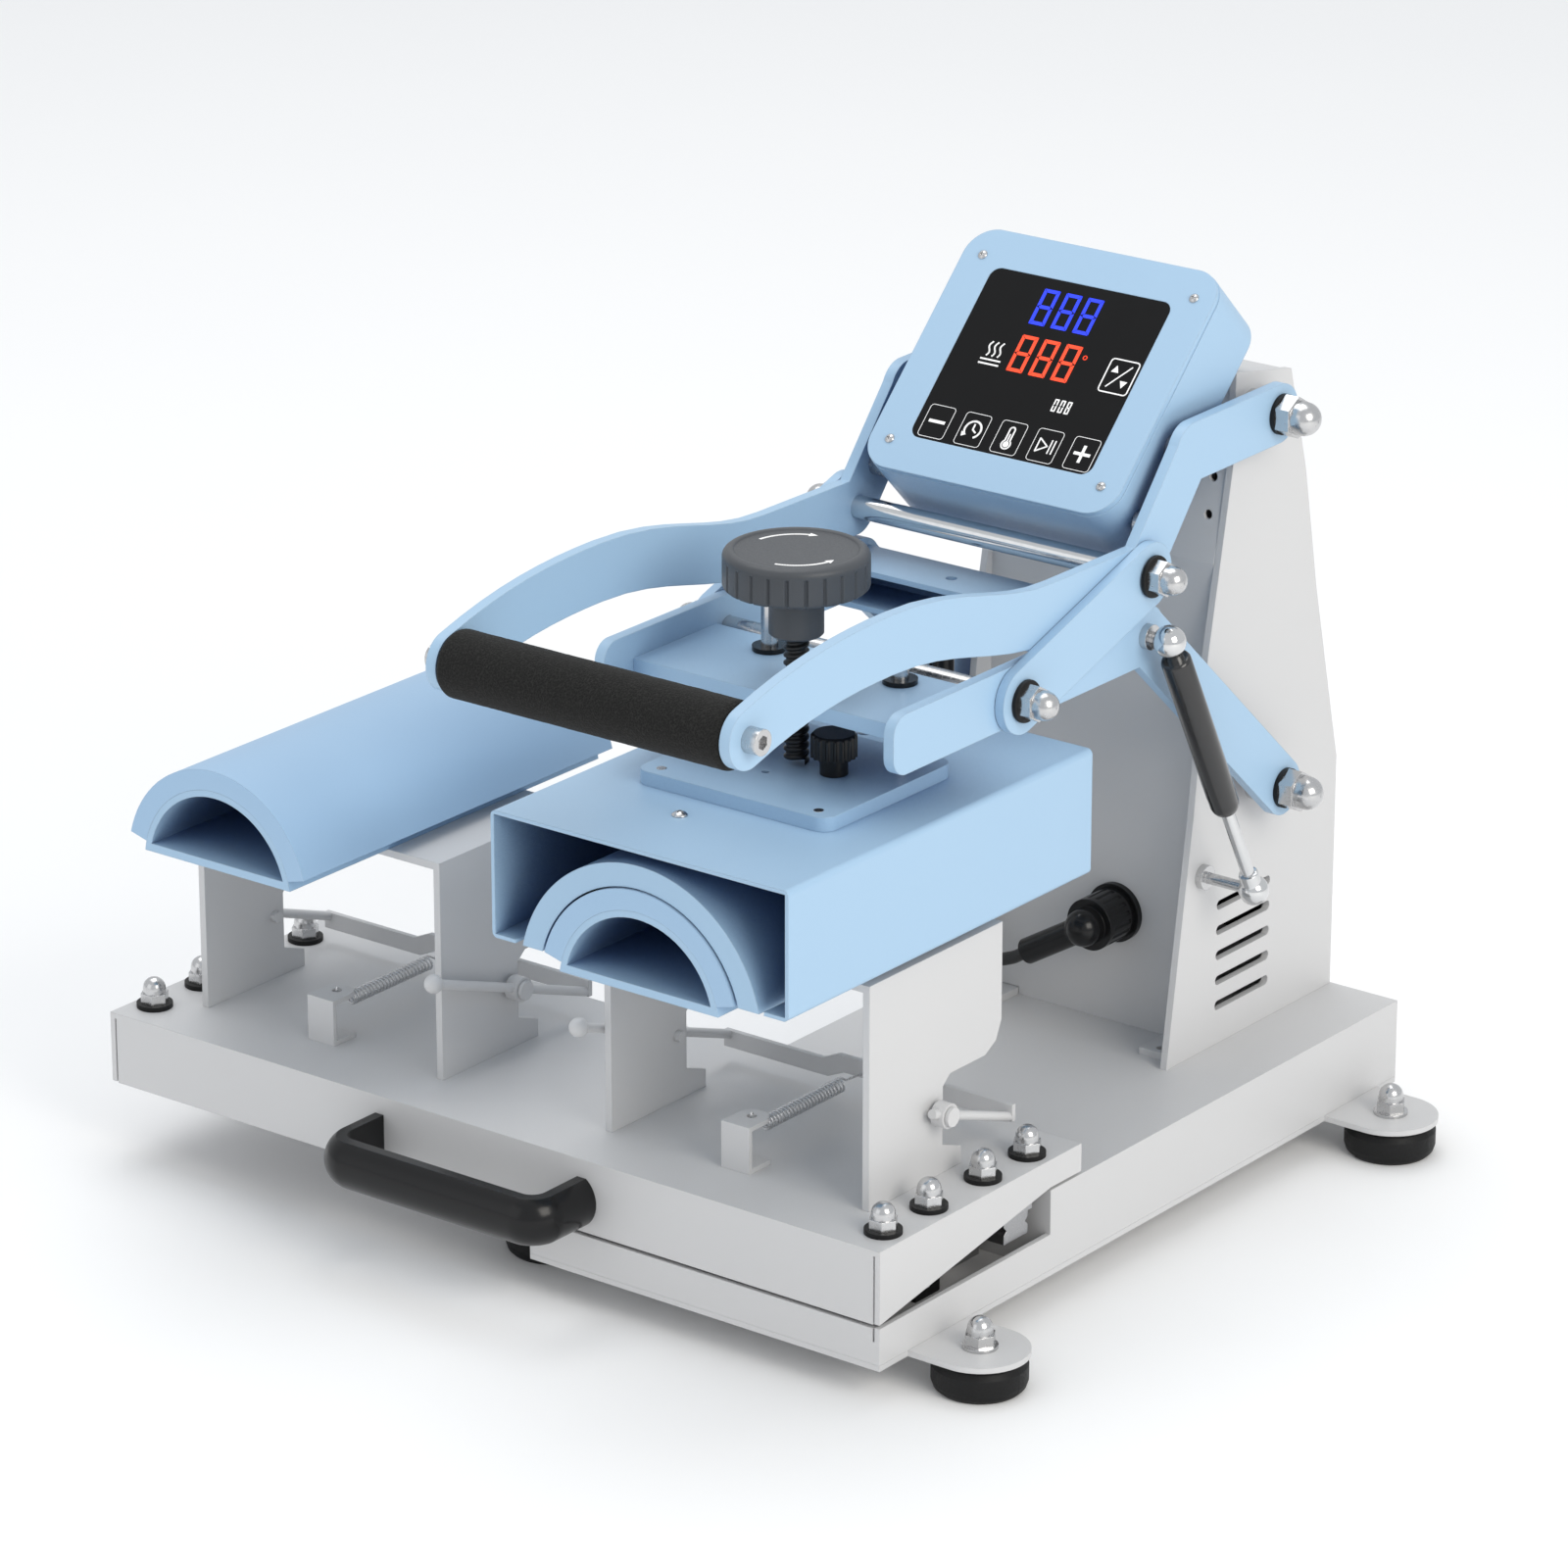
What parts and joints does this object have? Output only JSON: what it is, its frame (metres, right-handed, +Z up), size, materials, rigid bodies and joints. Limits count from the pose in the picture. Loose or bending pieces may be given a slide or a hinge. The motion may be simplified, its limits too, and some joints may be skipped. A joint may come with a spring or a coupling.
{
  "type": "mug heat press",
  "caption": "Two-station shuttle heat press with half-round formers, toggle lever, pressure knob and a tilted touch control box.",
  "frame": {"origin": "on the bench surface, on the middle plane of the heating head, in line with the front face of the base", "axes": "+X to the right along the shuttle's travel, +Y from the front to the back, +Z up"},
  "size_m": [0.55, 0.5454, 0.4826],
  "materials": {
    "white_powder_coat": "fine satin powder coat",
    "blue_powder_coat": "fine satin powder coat",
    "blue_silicone": "smooth matte silicone",
    "black_rubber": "matte rubber",
    "black_plastic": "moulded satin",
    "cord_jacket": "smooth rubber jacket",
    "grey_plastic": "moulded satin",
    "foam": "open foam skin",
    "bright_steel": "bright nickel plate",
    "chrome": "polished chrome",
    "machined_steel": "ground steel",
    "spring_steel": "drawn wire",
    "black_enamel": "gloss black enamel",
    "screen_glass": "gloss black screen",
    "red_plastic": "gloss rocker"
  },
  "bodies": {
    "root": {"base_chassis": "white_powder_coat", "base_floor": "white_powder_coat", "rubber_feet": "black_rubber", "foot_hardware": "bright_steel", "bearing_blocks": "machined_steel", "end_stops": "black_rubber", "column_side_left": "white_powder_coat", "column_side_right": "white_powder_coat", "column_front_panel": "white_powder_coat", "column_back_cover": "white_powder_coat", "column_top_cap": "white_powder_coat", "pivot_shafts": "bright_steel", "pivot_spacers": "chrome", "pivot_washers": "black_rubber", "pivot_nuts": "bright_steel", "power_entry": "black_plastic", "cable_socket": "black_plastic", "cable_plug": "black_plastic", "heater_cord_lower": "cord_jacket"},
    "shuttle": {"platform": "white_powder_coat", "pull_handle": "black_plastic", "rails": "machined_steel", "rail_hangers": "machined_steel", "platform_bolts": "bright_steel", "platform_washers": "black_rubber", "former_stands": "white_powder_coat", "former_tubes": "blue_powder_coat", "former_pads": "blue_silicone", "spring_anchors": "white_powder_coat", "hold_down_pins": "white_powder_coat", "hold_down_springs": "spring_steel"},
    "hold_down_left": {"hold_down_left": "white_powder_coat"},
    "hold_down_right": {"hold_down_right": "white_powder_coat"},
    "lever": {"lever_arms": "blue_powder_coat", "grip_tube": "chrome", "foam_grip": "foam", "lever_fasteners": "bright_steel", "crossbar_b": "chrome", "box_shell": "blue_powder_coat", "box_face": "blue_powder_coat", "box_screen": "screen_glass"},
    "links": {"toggle_links": "blue_powder_coat", "toggle_link_nuts": "bright_steel"},
    "head_arms": {"head_arms": "blue_powder_coat", "bridge_plate": "blue_powder_coat", "cross_brace": "blue_powder_coat", "head_bar_and_stud": "bright_steel", "guide_bushes": "black_plastic", "cord_clip": "black_plastic", "heater_cord_upper": "cord_jacket"},
    "head": {"head_shroud": "blue_powder_coat", "heater": "blue_powder_coat", "top_plate": "blue_powder_coat", "head_pins_and_screws": "bright_steel", "cord_gland": "black_plastic"},
    "thumb_knob": {"thumb_knob": "black_plastic"},
    "pressure_screw": {"pressure_screw": "grey_plastic"},
    "gas_cylinder": {"gas_cylinder": "black_enamel"},
    "gas_rod": {"gas_rod": "chrome"},
    "power_rocker": {"power_rocker": "red_plastic"}
  },
  "joints": [
    {"name": "shuttle_slide", "type": "slide", "parent": "root", "child": "shuttle", "axis": [1, 0, 0], "range_m": [0, 0.001]},
    {"name": "hold_down_left_hinge", "type": "hinge", "parent": "shuttle", "child": "hold_down_left", "pos_m": [-0.27, 0.088, 0.116], "axis": [1, 0, 0], "range_deg": [0, 28], "stiffness_Nm_per_rad": 1.5, "springref_deg": -28.65},
    {"name": "hold_down_right_hinge", "type": "hinge", "parent": "shuttle", "child": "hold_down_right", "pos_m": [0, 0.088, 0.116], "axis": [1, 0, 0], "range_deg": [0, 28], "stiffness_Nm_per_rad": 1.5, "springref_deg": -28.65},
    {"name": "lever_swing", "type": "hinge", "parent": "root", "child": "lever", "pos_m": [0, 0.366, 0.406], "axis": [-1, 0, 0], "range_deg": [0, 65]},
    {"name": "link_turn", "type": "hinge", "parent": "lever", "child": "links", "pos_m": [0, 0.246, 0.353], "axis": [-1, 0, 0], "range_deg": [-101.36, 0]},
    {"name": "head_lift", "type": "hinge", "parent": "root", "child": "head_arms", "pos_m": [0, 0.378, 0.202], "axis": [-1, 0, 0], "range_deg": [0, 22.6], "deforming": ["heater_cord_lower"]},
    {"name": "pressure_slide", "type": "slide", "parent": "head_arms", "child": "head", "axis": [0, 0, 1], "range_m": [0, 0.012], "deforming": ["heater_cord_upper"]},
    {"name": "pressure_turn", "type": "hinge", "parent": "head", "child": "pressure_screw", "pos_m": [0, 0.084, 0.3], "axis": [0, 0, 1], "range_deg": [0, 1080.1]},
    {"name": "thumb_turn", "type": "hinge", "parent": "head", "child": "thumb_knob", "pos_m": [0.023, 0.084, 0.29], "axis": [0, 0, 1], "range_deg": [0, 360]},
    {"name": "gas_swing", "type": "hinge", "parent": "head_arms", "child": "gas_cylinder", "pos_m": [0.105, 0.25, 0.3195], "axis": [-1, 0, 0], "range_deg": [-2.81, 0]},
    {"name": "gas_stroke", "type": "slide", "parent": "gas_cylinder", "child": "gas_rod", "axis": [0, 0.4597, -0.8881], "range_m": [0, 0.02232]},
    {"name": "rocker_tip", "type": "hinge", "parent": "root", "child": "power_rocker", "pos_m": [0.012, 0.4498, 0.108], "axis": [-1, 0, 0], "range_deg": [0, 10]}
  ],
  "couplings": [
    {"joint": "head_lift", "follows": "lever_swing", "ratio": 0.34694},
    {"joint": "link_turn", "follows": "lever_swing", "ratio": -1.5587},
    {"joint": "gas_swing", "follows": "lever_swing", "ratio": -0.042505},
    {"joint": "gas_stroke", "follows": "lever_swing", "m_per_rad": 0.019495},
    {"joint": "pressure_turn", "follows": "pressure_slide", "rad_per_m": 1570.8}
  ]
}
